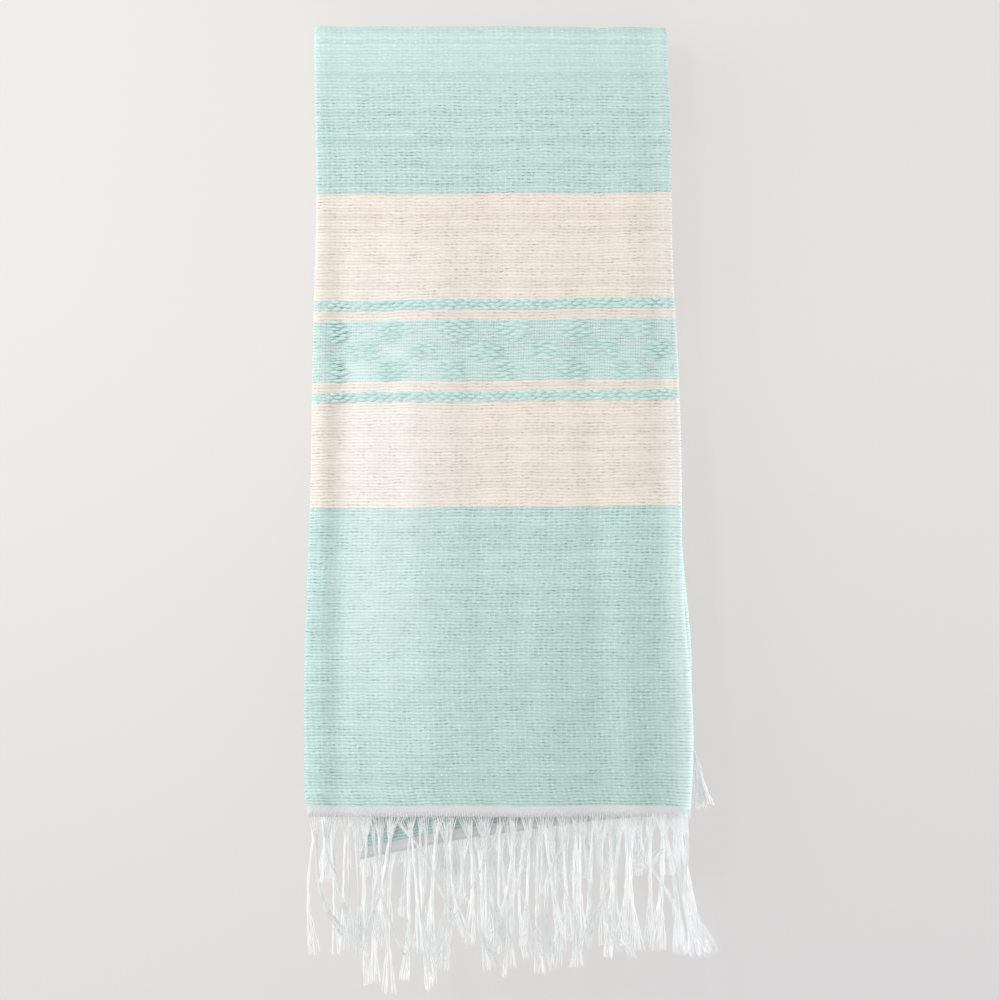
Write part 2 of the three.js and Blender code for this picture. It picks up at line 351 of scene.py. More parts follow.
class Finish:
    """A material in the making."""

    def __init__(self, name):
        self.material = bpy.data.materials.new(name)
        self.material.use_nodes = True
        self.tree = self.material.node_tree
        self.tree.nodes.clear()

    def node(self, kind, settings=None, inputs=None, out=0):
        return Wire(self, added_node(self.tree, kind, settings, inputs).outputs[out])

    def maths(self, operation, *terms):
        return self.node("ShaderNodeMath", {"operation": operation}, dict(enumerate(terms)))

    def vector(self, x, y, z=0.0):
        return self.node("ShaderNodeCombineXYZ", None, {"X": x, "Y": y, "Z": z})

    def split(self, vector):
        made = self.node("ShaderNodeSeparateXYZ", None, {"Vector": vector}).socket.node
        return [Wire(self, socket) for socket in made.outputs]

    def noise(self, vector, scale=1.0, detail=2.0, rough=0.5):
        inputs = {"Vector": vector, "Scale": scale, "Detail": detail, "Roughness": rough}
        return self.node("ShaderNodeTexNoise", {"noise_dimensions": "3D"}, inputs)

    def chance(self, vector):
        return self.node("ShaderNodeTexWhiteNoise", {"noise_dimensions": "3D"}, {"Vector": vector})

    def blend(self, share, a, b):
        return self.node("ShaderNodeMix", {"data_type": "RGBA"}, {0: share, 6: a, 7: b}, out=2)

    def surface(self, colour, height, distance, roughness, **constants):
        bump = self.node("ShaderNodeBump", None, {"Strength": 1.0, "Distance": distance, "Height": height})
        inputs = {"Base Color": colour, "Roughness": roughness, "Normal": bump}
        inputs.update({name.replace("_", " "): value for name, value in constants.items()})
        return self.ended(self.node("ShaderNodeBsdfPrincipled", None, inputs))

    def ended(self, surface):
        end = self.tree.nodes.new("ShaderNodeOutputMaterial")
        self.tree.links.new(surface.socket, end.inputs["Surface"])
        return self.material


def rgba(colour, factor=1.0):
    return (*[min(1.0, channel * factor) for channel in colour], 1.0)


# ---- Finishes -----------------------------------------------------------------------------------


def cloth_finish(sizes, colours, length, levels):
    """Weft rows over pairs of warp threads, with the stripes set by the height above the nearer hem."""
    f = Finish("woven_cloth")
    u, v, _ = f.split(f.node("ShaderNodeUVMap", {"uv_map": "flat"}))
    flat = f.vector(u, v)
    height = v.least(length - v)

    row_wave = (f.noise(f.vector(u * 34, v * 75), detail=2.5, rough=0.6) - 0.5) * (2.0 * MM)
    row_jog = (f.noise(f.vector(u * 210, v * 160, 3.0), detail=1.0) - 0.5) * (1.1 * MM)
    rows = (v + row_wave + row_jog) / sizes.row_pitch
    gap_row = (rows + 0.5).floor()
    from_gap = abs((rows + 0.5).fract() - 0.5) * 2  # 0 in the gap between rows, 1 on the crest of a row
    column_wave = (f.noise(f.vector(u * 60, v * 18, 4.0), detail=1.0) - 0.5) * (0.8 * MM)
    row_shift = (f.chance(f.vector(rows.floor(), 5.0, 2.0)) - 0.5) * (0.9 * MM)
    columns = (u + column_wave + row_shift) / sizes.pair_pitch
    column = (columns + 0.5).floor()
    from_pair = abs((columns + 0.5).fract() - 0.5) * 2

    patches = f.noise(flat, 95, 2.0, 0.6)
    # Painted shade in the gaps between weft rows, in patches and dashes, weaker near the crest of the fold
    # over the rail.
    dash_run = f.noise(f.vector(u * 330, gap_row * 7.31, 2.0), detail=2.5, rough=0.7)
    dash = dash_run.rise(0.42, 0.68) * patches.rise(0.28, 0.66)
    gap = 1 - from_gap.rise(0.0, 0.55)
    broken = 0.30 + 0.70 * from_pair.rise(0.1, 0.55)
    crest = height.rise(length / 2 - 24 * MM, length / 2 - 8 * MM)
    dark = gap * (0.08 + 0.40 * patches + 1.25 * dash) * broken * (1 - 0.75 * crest)

    speck_chance = f.chance(f.vector(column, rows.floor(), 1.0))
    frost = f.noise(f.vector(u * 700, v * 700, 5.0), detail=2.0, rough=0.7)
    speck = (1 - from_pair.rise(0.08, 0.40)) * from_gap.rise(0.3, 0.7) * speck_chance.rise(0.25, 0.95)
    speck = speck * (0.45 + 0.55 * frost.rise(0.35, 0.6)) + 0.5 * frost.rise(0.55, 0.7) * from_gap

    thread = f.noise(f.vector(u * 900, v * 3600, 6.0), detail=1.0)
    tone = f.noise(flat, 11, 3.0, 0.55)
    row_tone = f.chance(f.vector(rows.floor(), 3.0, 9.0))

    edge = height + (f.noise(f.vector(u * 130, v * 8, 8.0), detail=1.0) - 0.5) * (0.7 * MM)

    def above(name):
        return edge.rise(levels[name] - 0.18 * MM, levels[name] + 0.18 * MM)

    def stripe(name):
        upper = STRIPES[STRIPES.index(name) - 1]
        return above(name) * (1 - above(upper))

    cream = stripe("upper_cream_stripe") + stripe("upper_spacer") + stripe("lower_spacer")
    cream = (cream + stripe("lower_cream_stripe")).clipped()
    pattern = (stripe("upper_thin_stripe") + stripe("pattern_band") + stripe("lower_thin_stripe")).clipped()
    header = 1 - above("end_field")
    dark = dark * (1 - 0.3 * pattern)

    single = abs((u / (sizes.pair_pitch / 2)).fract() - 0.5) * 2
    grid = 1.15 * (1 - single.rise(0.25, 0.7)) * from_gap.rise(0.2, 0.6) * (0.45 + 0.55 * speck_chance)
    speck = speck * (1 - pattern) + grid * pattern

    grain = f.noise(f.vector(u * 420, v * 620, 7.0), detail=2.0, rough=0.65)
    shade = (0.25 * tone + 0.25 * row_tone + 0.35 * thread + 0.6 * (grain - 0.2)).rise(0.25, 0.85)
    mint = f.blend(shade, rgba(colours.mint, 0.87), rgba(colours.mint, 1.10))
    mint = f.blend((1.3 * (tone - 0.3)).clipped() * 0.5, mint, rgba(colours.mint_cool))
    low = 1 - height.rise(0.0, 0.17)
    mint = f.blend(low * u.rise(0.20, 0.38) * 0.85, mint, rgba(colours.mint_green))
    cream_tone = f.blend(shade, rgba(colours.cream, 0.91), rgba(colours.cream, 1.06))
    weft = f.blend(cream, mint, cream_tone)
    between = f.blend(cream, rgba(colours.mint_gap), rgba(colours.cream_gap))
    colour = f.blend((dark * (1 - 0.35 * cream)).clipped(), weft, between)
    colour = f.blend((speck * (0.62 - 0.3 * cream)).clipped(), colour, rgba(colours.warp))

    # Across the header, painted shade in the grooves between warp threads: darker where its bump is low.
    tick = abs((u / (sizes.pair_pitch / 4)).fract() - 0.5) * 2
    ticks = f.blend(tick.rise(0.2, 0.8), rgba(colours.warp, 0.8), rgba(colours.warp, 0.98))
    colour = f.blend(header, colour, ticks)
    worn = f.node("ShaderNodeAttribute", {"attribute_name": "worn"}, None, out="Fac")
    # A painted patch of light on the left of each panel, some way above the hem.
    painted_light_patch = u.rise(0.195, 0.222) * (1 - u.rise(0.232, 0.285))
    painted_light_patch = painted_light_patch * height.rise(0.0, 0.11) * (1 - height.rise(0.24, 0.34))
    # Painted highlight along the fold edges, and a painted patch of light on the left of each panel, lighten
    # the weft towards pale mint and white.
    paler = (worn * (0.7 + 0.3 * from_gap) + 0.38 * painted_light_patch).clipped()
    colour = f.blend(paler, colour, f.blend(cream, rgba(colours.mint_highlight), rgba(colours.warp)))

    ribs = (from_gap ** 0.6) * 0.75 - 0.5 * dark + 0.25 * speck + 0.12 * thread
    relief = ribs * (1 - header) + tick * header * 0.8
    return f.surface(
        colour, relief, 0.35 * MM, 0.88 - 0.1 * speck,
        Sheen_Weight=0.25, Sheen_Roughness=0.5, Specular_IOR_Level=0.25,
    )  # fmt: skip


def float_finish(colours):
    """Mint weft yarn that lies loose on the cloth: fine lengthwise plies, and darker in patches."""
    f = Finish("floating_weft")
    x, y, z = f.split(f.node("ShaderNodeTexCoord", None, None, out="Object"))
    plies = f.noise(f.vector(x * 120, y * 500, z * 2600), detail=2.0)
    tone = f.noise(f.vector(x, y, z), 320, 2.0)
    colour = f.blend(plies.rise(0.3, 0.7), rgba(colours.mint, 1.0), rgba(colours.mint, 1.16))
    colour = f.blend(tone.rise(0.52, 0.72) * 0.35, colour, rgba(colours.mint_gap, 1.1))
    return f.surface(colour, plies, 0.08 * MM, 0.8 + 0.1 * tone, Sheen_Weight=0.3, Specular_IOR_Level=0.3)


def fringe_finish(name, colours, level, glow):
    """Loose white cotton with the twist of its plies, and a glow: painted light that stands for light let
    through and fills the shade among the threads.
    """
    f = Finish(name)
    along = f.node("ShaderNodeAttribute", {"attribute_name": "along"}, None, out="Fac")
    x, y, z = f.split(f.node("ShaderNodeTexCoord", None, None, out="Object"))
    twist = abs((along * 900 + x * 1500).fract() - 0.5) * 2
    tone = f.noise(f.vector(x, y, z * 0.25), 260, 2.0)
    each = f.noise(f.vector(x * 900, y * 900, z * 25), detail=1.0)
    # Partly tone that differs at random, partly painted shade in the grooves of the twist.
    shade = (tone.rise(0.35, 0.65) * 0.4 + twist * 0.2 + each.rise(0.35, 0.65) * 0.4).clipped()
    colour = f.blend(shade, rgba(colours.warp, 0.84 * level), rgba(colours.warp, 1.08 * level))
    return f.surface(
        colour, twist, 0.05 * MM, 0.78 + 0.15 * tone, Sheen_Weight=0.2, Specular_IOR_Level=0.3,
        Emission_Color=rgba(colours.warp), Emission_Strength=glow,
    )  # fmt: skip


def wall_finish(name, colour, low_colour):
    """Matt plaster, seen from its front only so that it hides nothing in the views from behind. Seven tenths
    of its light is its own glow, painted light that keeps the towel's shadows on it faint; its tint darkens
    towards the bottom and the right, painted shade.
    """
    f = Finish(name)
    place = f.node("ShaderNodeTexCoord", None, None, out="Object")
    cloudy = f.noise(place, 2.5, 3.0)
    grain = f.noise(place, 420, 2.0)
    x, _, z = f.split(place)
    # Painted shade: the tint darkens towards the bottom and the right.
    painted_falloff = (0.78 * z.rise(-0.12, -0.62) + 0.22 * x.rise(-0.25, 0.25)).clipped()
    even = f.blend(cloudy.rise(0.3, 0.7), rgba(colour, 0.99), rgba(colour, 1.01))
    tint = f.blend(painted_falloff, even, rgba(low_colour))
    bump = f.node("ShaderNodeBump", None, {"Strength": 0.3, "Distance": 0.1 * MM, "Height": grain})
    matt = f.node("ShaderNodeBsdfDiffuse", None, {"Color": tint, "Normal": bump})
    # Painted light: the wall glows, which keeps the shadows on it faint.
    lit = f.node("ShaderNodeEmission", None, {"Color": tint, "Strength": 1.035})
    plaster = f.node("ShaderNodeMixShader", None, {0: 0.7, 1: matt, 2: lit})
    behind = f.node("ShaderNodeNewGeometry", None, None, out="Backfacing")
    clear = f.node("ShaderNodeBsdfTransparent")
    return f.ended(f.node("ShaderNodeMixShader", None, {0: behind, 1: plaster, 2: clear}))


# ---- Meshes and node trees ----------------------------------------------------------------------


def link(name, mesh):
    made = bpy.data.objects.new(name, mesh)
    bpy.context.scene.collection.objects.link(made)
    return made


def set_attribute(mesh, name, kind, values):
    """A number or a vector at every point of a mesh."""
    attribute = mesh.attributes.new(name, kind, "POINT")
    attribute.data.foreach_set("value" if kind == "FLOAT" else "vector", np.array(values, np.float32).ravel())


def grid_mesh(name, points, u, v, worn):
    """A mesh of rows and columns of points whose UV map holds their places on the flat cloth."""
    rows, columns = points.shape[:2]
    index = np.arange(rows * columns).reshape(rows, columns)
    corners = [index[:-1, :-1], index[:-1, 1:], index[1:, 1:], index[1:, :-1]]
    faces = np.stack(corners[::-1], axis=-1).reshape(-1, 4)
    mesh = bpy.data.meshes.new(name)
    mesh.from_pydata(points.reshape(-1, 3).tolist(), [], faces.tolist())
    flat = np.stack([u.ravel(), v.ravel()], axis=-1)[faces.ravel()]
    layer = mesh.uv_layers.new(name="flat")
    layer.data.foreach_set("uv", flat.astype(np.float32).ravel())
    set_attribute(mesh, "worn", "FLOAT", worn)
    mesh.shade_smooth()
    mesh.update()
    return mesh


class Tree:
    """A Geometry Nodes tree in the making."""

    def __init__(self, name, inputs):
        self.group = bpy.data.node_groups.new(name, "GeometryNodeTree")
        face = self.group.interface
        face.new_socket("Geometry", in_out="INPUT", socket_type="NodeSocketGeometry")
        face.new_socket("Geometry", in_out="OUTPUT", socket_type="NodeSocketGeometry")
        for label, kind in inputs.items():
            face.new_socket(label, in_out="INPUT", socket_type=kind)
        self.start = self.group.nodes.new("NodeGroupInput")

    def node(self, kind, settings=None, inputs=None):
        return added_node(self.group, kind, settings, inputs)

    def maths(self, operation, *terms):
        return self.node("ShaderNodeMath", {"operation": operation}, dict(enumerate(terms))).outputs[0]

    def attribute(self, name, kind):
        return self.node("GeometryNodeInputNamedAttribute", {"data_type": kind}, {"Name": name}).outputs[0]

    def finish(self, geometry):
        """Ends the tree in Realize Instances and Set Material."""
        real = self.node("GeometryNodeRealizeInstances", None, {"Geometry": geometry})
        smooth = self.node("GeometryNodeSetShadeSmooth", None, {"Geometry": real.outputs[0]})
        inputs = {"Geometry": smooth.outputs[0], "Material": self.start.outputs["Material"]}
        dressed = self.node("GeometryNodeSetMaterial", None, inputs)
        end = self.group.nodes.new("NodeGroupOutput")
        self.group.links.new(dressed.outputs[0], end.inputs[0])
        return self.group


def grown(name, seed_mesh, tree, values):
    """Runs a tree on a mesh and gives the result as a plain mesh object."""
    seed = link(name + "_seed", seed_mesh)
    modifier = seed.modifiers.new("grow", "NODES")
    modifier.node_group = tree
    for item in tree.interface.items_tree:
        if item.in_out == "INPUT" and item.name in values:
            modifier[item.identifier] = values[item.name]
    graph = bpy.context.evaluated_depsgraph_get()
    result = seed.evaluated_get(graph)
    mesh = bpy.data.meshes.new_from_object(result, preserve_all_data_layers=True, depsgraph=graph)
    if not mesh.polygons:
        raise RuntimeError(f"{name} has come out empty")
    mesh.name = name
    bpy.data.objects.remove(seed)
    return link(name, mesh)


def thread_tree():
    """A round thread along every line of a mesh, as thick as its girth says."""
    sockets = {"Diameter": "NodeSocketFloat", "Sides": "NodeSocketInt", "Material": "NodeSocketMaterial"}
    tree = Tree("threads", sockets)
    start = tree.start.outputs
    lines = tree.node("GeometryNodeMeshToCurve", None, {"Mesh": start["Geometry"]})
    girth = tree.attribute("girth", "FLOAT")
    sized = tree.node("GeometryNodeSetCurveRadius", None, {"Curve": lines.outputs[0], "Radius": girth})
    inputs = {"Resolution": start["Sides"], "Radius": tree.maths("MULTIPLY", start["Diameter"], 0.5)}
    ring = tree.node("GeometryNodeCurvePrimitiveCircle", {"mode": "RADIUS"}, inputs)
    inputs = {"Curve": sized.outputs[0], "Profile Curve": ring.outputs[0], "Scale": girth, "Fill Caps": True}
    return tree.finish(tree.node("GeometryNodeCurveToMesh", None, inputs).outputs[0])


def float_tree():
    """A pointed, rounded length of loose yarn at every point of a mesh."""
    sockets = {"Sides": "NodeSocketInt", "Rings": "NodeSocketInt", "Material": "NodeSocketMaterial"}
    tree = Tree("floats", sockets)
    start = tree.start.outputs
    inputs = {"Segments": start["Sides"], "Rings": start["Rings"], "Radius": 1.0}
    ball = tree.node("GeometryNodeMeshUVSphere", None, inputs)
    inputs = {"Geometry": ball.outputs[0], "Rotation": (0.0, math.pi / 2, 0.0)}
    laid = tree.node("GeometryNodeTransform", None, inputs)

    place = tree.node("GeometryNodeInputPosition").outputs[0]
    parts = tree.node("ShaderNodeSeparateXYZ", None, {0: place}).outputs
    along = tree.maths("ABSOLUTE", parts[0])
    inputs = {"Value": along, "From Min": 0.2, "From Max": 1.0, "To Min": 1.0, "To Max": 0.35}
    taper = tree.node("ShaderNodeMapRange", None, inputs).outputs[0]
    narrow = [tree.maths("MULTIPLY", parts[k], taper) for k in (1, 2)]
    pointed = tree.node("ShaderNodeCombineXYZ", None, {0: parts[0], 1: narrow[0], 2: narrow[1]})
    inputs = {"Geometry": laid.outputs[0], "Position": pointed.outputs[0]}
    lens = tree.node("GeometryNodeSetPosition", None, inputs)

    inputs = {"Vector": tree.attribute("outward", "FLOAT_VECTOR")}
    upright = tree.node("FunctionNodeAlignRotationToVector", {"axis": "Z"}, inputs)
    inputs = {"Rotation": upright.outputs[0], "Vector": tree.attribute("lengthwise", "FLOAT_VECTOR")}
    settings = {"axis": "X", "pivot_axis": "Z"}
    lengthwise = tree.node("FunctionNodeAlignRotationToVector", settings, inputs)
    inputs = {
        "Points": start["Geometry"], "Instance": lens.outputs[0],
        "Rotation": lengthwise.outputs[0], "Scale": tree.attribute("size", "FLOAT_VECTOR"),
    }  # fmt: skip
    return tree.finish(tree.node("GeometryNodeInstanceOnPoints", None, inputs).outputs[0])


# ---- Floats of the pattern ----------------------------------------------------------------------


class Floats:
    """Where loose lengths of weft lie on a panel."""

    PROUD = 0.1 * MM  # from the cloth's face to the middle of a float
    HALF_HEIGHT = 0.42 * MM

    def __init__(self, fold, seed):
        self.fold, self.draw = fold, np.random.default_rng(seed)
        self.middles, self.sizes, self.lengthwise = [], [], []

    def lay(self, x, height, half_length, half_width, edges):
        leaf, draw = self.fold.leaf, self.draw
        first, last = max(x - half_length, edges[0]), min(x + half_length, edges[1])
        if last - first < 0.7 * half_length:
            return
        x, half_length = (first + last) / 2, (last - first) / 2
        depth = leaf.reach - height
        out = self.fold.places(depth / leaf.reach)["out"]["panel"] + (self.PROUD + leaf.half)
        ends = [self.fold.point(x + side * half_length, out, depth) for side in (-1, 1)]
        self.middles.append((ends[0] + ends[1]) / 2)
        self.lengthwise.append(ends[1] - ends[0])
        stretch = draw.uniform(0.9, 1.1)
        self.sizes.append((half_length * stretch, half_width * draw.uniform(0.9, 1.08), self.HALF_HEIGHT))

    def row(self, height, shift, spacing, half_length, half_width, wanted):
        places = self.fold.places(1 - height / self.fold.leaf.reach)
        edges = places["tight"] - 0.3 * MM, places["wide"] + 1 * MM
        x = edges[0] + shift * spacing
        while x < edges[1] + half_length:
            place = x + self.draw.uniform(-0.7, 0.7) * MM
            rise = (self.draw.uniform(-0.2, 0.2) + 0.3 * math.sin(place / MM * 0.35)) * MM
            if wanted(place, height):
                self.lay(place, height + rise, half_length, half_width, edges)
            x += spacing

    def mesh(self, name):
        mesh = bpy.data.meshes.new(name)
        mesh.from_pydata([tuple(p) for p in self.middles], [], [])
        outward = [(0.0, float(self.fold.leaf.outward), 0.0)] * len(self.middles)
        for label, values in (("size", self.sizes), ("lengthwise", self.lengthwise), ("outward", outward)):
            set_attribute(mesh, label, "FLOAT_VECTOR", values)
        return mesh


def laid_floats(fold, sizes, seed):
    """Rows of floats in each thin stripe, and three tiers of lozenges in the pattern band."""
    floats, levels = Floats(fold, seed), fold.leaf.levels()

    def lay_rows(name, rows, length, wanted):
        low, high = levels[name], levels[STRIPES[STRIPES.index(name) - 1]]
        for row in range(rows):
            height, half_width = mix(low, high, (row + 0.5) / rows), 0.66 * (high - low) / rows
            floats.row(height, 0.5 * (row % 2), length, 0.6 * length, half_width, wanted)

    for name in ("upper_thin_stripe", "lower_thin_stripe"):
        lay_rows(name, sizes.braid_rows, sizes.braid_length, lambda x, height: True)

    low, high = levels["pattern_band"], levels["upper_spacer"]
    tiers = 3
    tier_height = (high - low) / tiers

    def in_lozenge(x, height):
        tier = min(tiers - 1, int((height - low) / tier_height))
        off_row = abs((height - low) / tier_height - tier - 0.5) * 2
        along = (x / sizes.lozenge_period + 0.15 + 0.5 * (tier % 2)) % 1
        off_middle = abs(along - 0.5) * 2
        uneven = 0.11 * math.sin(x / MM * 0.19 + 2.1 * tier) + 0.09 * math.sin(x / MM * 0.53 + 3.3 * off_row)
        return off_middle < 0.60 - 0.30 * off_row + uneven

    lay_rows("pattern_band", round((high - low) / sizes.row_pitch), sizes.float_length, in_lozenge)
    return floats


# ---- Fringe -------------------------------------------------------------------------------------

# The front panel's bundles from left to right. Each takes the warp ends up to its first number; the
# points are its way down, as distances to the right of the rail's middle and below the hem. In mm.
FRONT_BUNDLES = (
    (-93, [(-96, 10), (-95, 32), (-92, 46), (-86, 56), (-77, 68)]),
    (-84, [(-90, 10), (-90, 20), (-85, 33), (-82, 48), (-75, 57)]),
    (-75, [(-78, 15), (-78, 40), (-77, 66)]),
    (-68, [(-73, 6), (-73, 21), (-72, 46), (-71, 77)]),
    (-62, [(-64, 14), (-61, 34), (-60, 43), (-54, 60), (-46, 76), (-41, 67)]),
    (-56, [(-60, 12), (-61, 30), (-64, 50), (-60, 68)]),
    (-51, [(-54, 4), (-55, 14), (-57, 29), (-61, 43), (-67, 58), (-70, 77)]),
    (-46, [(-49, 4), (-40, 16), (-34, 27), (-23, 49), (-18, 62)]),
    (-40, [(-45, 18), (-47, 35), (-46, 58), (-42, 74)]),
    (-33, [(-35, 25), (-37, 53), (-36, 67), (-32, 88)]),
    (-19, [(-25, 8), (-23, 28), (-23, 42), (-26, 70)]),
    (-10, [(-10, 20), (-7, 36), (-6, 63), (4, 83)]),
    (3, [(-3, 13), (0, 38), (4, 59), (5, 71)]),
    (6, [(4, 6), (-1, 20), (-10, 38), (-22, 61), (-24, 85)]),
    (10, [(12, 26), (16, 38), (26, 68), (31, 80)]),
    (16, [(13, 20), (13, 40), (13, 72)]),
    (24, [(21, 14), (16, 35), (8, 59), (9, 70)]),
    (30, [(28, 10), (28, 32), (26, 60), (26, 84)]),
    (36, [(32, 12), (37, 31), (41, 42), (46, 56), (47, 74)]),
    (44, [(40, 14), (31, 34), (31, 60), (34, 84)]),
    (54, [(51, 11), (53, 26), (55, 51), (53, 72)]),
    (63, [(59, 20), (61, 33), (63, 47), (67, 62), (72, 74)]),
    (67, [(66, 20), (65, 38), (57, 56), (51, 69)]),
    (72, [(71, 8), (69, 33), (70, 51), (79, 78)]),
    (77, [(76, 9), (78, 22), (83, 27), (88, 27), (93, 20), (96, 18)]),
    (84, [(83, 16), (89, 29), (99, 45), (103, 58)]),
    (89, [(87, 20), (88, 48), (87, 73)]),
    (96, [(97, 14), (101, 36), (103, 51), (105, 75)]),
    (103, [(103, 15), (104, 36), (108, 52), (113, 76)]),
    (120, [(108, 15), (107, 36), (112, 52), (121, 73)]),
)

# The back panel's last bundles, which stand out beside the towel.
STRAY_BUNDLES = (
    (102, [(106, 4), (111, 13), (113, 24), (114, 37)]),
    (106, [(108, 3), (113, 12), (116, 24), (117, 36)]),
    (120, [(111, 3), (115, 11), (118, 22), (121, 34)]),
)


def curve_through(points, steps):
    """Evenly many points on a smooth curve (Catmull-Rom) through a few."""
    before, after = 2 * np.array(points[0]) - points[1], 2 * np.array(points[-1]) - points[-2]
    points = np.array([before, *points, after], float)
    spans = len(points) - 3
    found = []
    for at in np.linspace(0, spans, steps):
        k = min(int(at), spans - 1)
        t = at - k
        a, b, c, d = points[k : k + 4]
        bend, twist = 2 * a - 5 * b + 4 * c - d, 3 * b - a - 3 * c + d
        found.append(0.5 * (2 * b + (c - a) * t + bend * t**2 + twist * t**3))
    return np.array(found)


def resampled(line, steps):
    """The same line in equal steps, and its length."""
    along = np.concatenate([[0], np.cumsum(np.linalg.norm(np.diff(line, axis=0), axis=1))])
    even = np.linspace(0, along[-1], steps)
    return np.stack([np.interp(even, along, line[:, k]) for k in range(line.shape[1])], axis=-1), along[-1]


class Fringe:
    """The warp ends that hang from one layer's hem."""

    STEPS = 26  # points along a thread
    BUNDLE_WIDTHS = 5.5, 10.5  # least and most hem that a bundle takes, in mm
    LEAN, BOW = 5.0, 1.8  # how far the drawn ways stray, in mm
    NECK = 16.0  # depth at which a bundle has drawn together, in mm
    STRAY_HEM = 16  # stretch of the back hem, in mm, that the stray bundles take
    SHORT = 0.86  # a way shorter than this share of a thread is drawn out

    def __init__(self, fold, layer, sizes, seed):
        self.fold, self.layer, self.sizes = fold, layer, sizes
        self.draw = np.random.default_rng(seed)
        self.points, self.edges, self.girth, self.along = [], [], [], []

    def _hem_drop(self, x):
        start, end = self.fold.hem_ends(self.layer)
        place = np.clip((x - start) / (end - start), 0, 1)
        return self.fold.drop(self.layer, place)

    def bundles(self):
        """(end of its stretch of hem, way down) in mm for every bundle, from left to right."""
        if self.layer == "panel" and self.fold.leaf.side == "front":
            return FRONT_BUNDLES
        low, high = sorted(self.fold.hem_ends(self.layer))
        low, high = low / MM, high / MM
        found, at = [], low
        stray = self.layer == "panel"
        last = high - self.STRAY_HEM if stray else high
        while at < last - 1:
            width = self.draw.uniform(*self.BUNDLE_WIDTHS)
            end = min(at + width, last)
            x = at + (end - at) * self.draw.uniform(0.35, 0.65)
            lean, bow = self.draw.normal(0, self.LEAN), self.draw.normal(0, self.BOW)
            length = self.sizes.fringe_length / MM * self.draw.uniform(0.9, 1.06)
            stops = (0.22, 0.45, 0.7, 1.0)
            way = [(x + lean * t**1.6 + bow * math.sin(math.pi * t), length * t) for t in stops]
            found.append((end, way))
            at = end
        if stray:
            found.extend(STRAY_BUNDLES)
        return found

    def thread(self, root, centre, length, offset, reach):
        """One warp end: down the header, together with its bundle, and apart again at its loose end."""
        draw, leaf = self.draw, self.fold.leaf
        steps = len(centre)
        t = np.linspace(0, 1, steps)
        down = t * length
        neck = min(self.NECK, 0.34 * length)
        apart = np.clip(1 - down / neck, 0, 1) ** 1.25
        flare = 0.8 + 2.4 * smooth_step(t, 0.6, 1.0) ** 1.3
        turn = offset[1] + 2.2 * t * draw.uniform(0.4, 1.2)
        stray = draw.normal(0, 0.5, 2) * smooth_step(t, 0.45, 1.0)[:, None] * 2.0
        spread = (1 - apart) * offset[0] * flare
        x = centre[:, 0] + (root - centre[0, 0]) * apart + spread * np.cos(turn) + stray[:, 0]
        wiggle = 0.22 * np.sin(down * draw.uniform(0.35, 0.6) + draw.uniform(0, 6)) * (1 - apart)
        x = x + wiggle
        hang = centre[:, 1] + draw.uniform(-1.0, 1.0) * t
        deep = np.clip(spread * np.sin(turn) * 0.55 + stray[:, 1] * 0.5, -1.3, 1.5)
        x, hang, deep = x * MM, hang * MM, deep * MM

        layer_out = self.fold.places(1.0)["out"][self.layer]
        facing = leaf.half + 0.1 * MM if self.layer == "panel" else 0.0
        drop = self._hem_drop(root * MM)
        depth = leaf.reach + np.maximum(hang, 0)
        body = self.fold.point(x, layer_out + deep + facing * np.clip(apart * 3, 0, 1), depth, drop)
        body[:, 2] -= self.fold.sag(root * MM, 1.0) - self.fold.sag(x, 1.0)

        up = np.array([2.4, 1.5, 0.6]) * MM
        tick = self.fold.point(np.full(3, root * MM), layer_out + facing, leaf.reach - up, drop)
        line = np.vstack([tick, body])
        girth = np.concatenate([[0.5, 0.7, 0.9], mix(0.8, 1.0, np.clip(down / neck, 0, 1))])
        girth[-1] = 0.55
        girth *= draw.uniform(0.8, 1.15)
        first = len(self.points)
        self.points.extend(map(tuple, line))
        self.edges.extend((first + k, first + k + 1) for k in range(len(line) - 1))
        self.girth.extend(girth)
        self.along.extend(np.linspace(0, length * MM, len(line)))

    def hang(self):
        spacing = self.sizes.thread_spacing / MM
        low, high = sorted(self.fold.hem_ends(self.layer))
        pitch = self.fold.sizes.layer_pitch_hem / MM
        start = low / MM - (pitch / 2 if self.layer != "wrap" else 0)
        end = high / MM + (pitch * 0.8 if self.layer != "tucked" else 0)
        full = self.sizes.fringe_length / MM
        for last, way in self.bundles():
            last = min(last, end)
            roots = np.repeat(np.arange(start + spacing, last, 2 * spacing), 2)
            start = last
            if not len(roots):
                continue
            if last > end - 4 * pitch and self.layer != "tucked":  # the ends from the turn at the wide fold
                turned = np.linspace(last - 2 * pitch, last, round(math.pi * pitch / spacing))
                roots = np.append(roots, turned)
            middle = roots.mean()
            ways = curve_through([(middle, 0.0), *way], 60)
            centre, length = resampled(ways, self.STEPS)
            if length < self.SHORT * full and way[-1][1] > 0.6 * full:
                more = self.draw.uniform(0.9, 1.02) * full - length
                heading = way[-1][0] - way[-2][0]
                ways = np.vstack([ways, [(way[-1][0] + 0.25 * heading, way[-1][1] + more)]])
                centre, length = resampled(ways, self.STEPS)
            thick = 0.42 * math.sqrt(len(roots)) * 0.62
            for root in roots:
                offset = (thick * math.sqrt(self.draw.uniform(0.05, 1)), self.draw.uniform(0, 2 * math.pi))
                self.thread(root + self.draw.uniform(-0.15, 0.15), centre, length, offset, full)

    def mesh(self, name):
        mesh = bpy.data.meshes.new(name)
        mesh.from_pydata(self.points, self.edges, [])
        for label, values in (("girth", self.girth), ("along", self.along)):
            set_attribute(mesh, label, "FLOAT", values)
        return mesh


# ---- Settings -----------------------------------------------------------------------------------


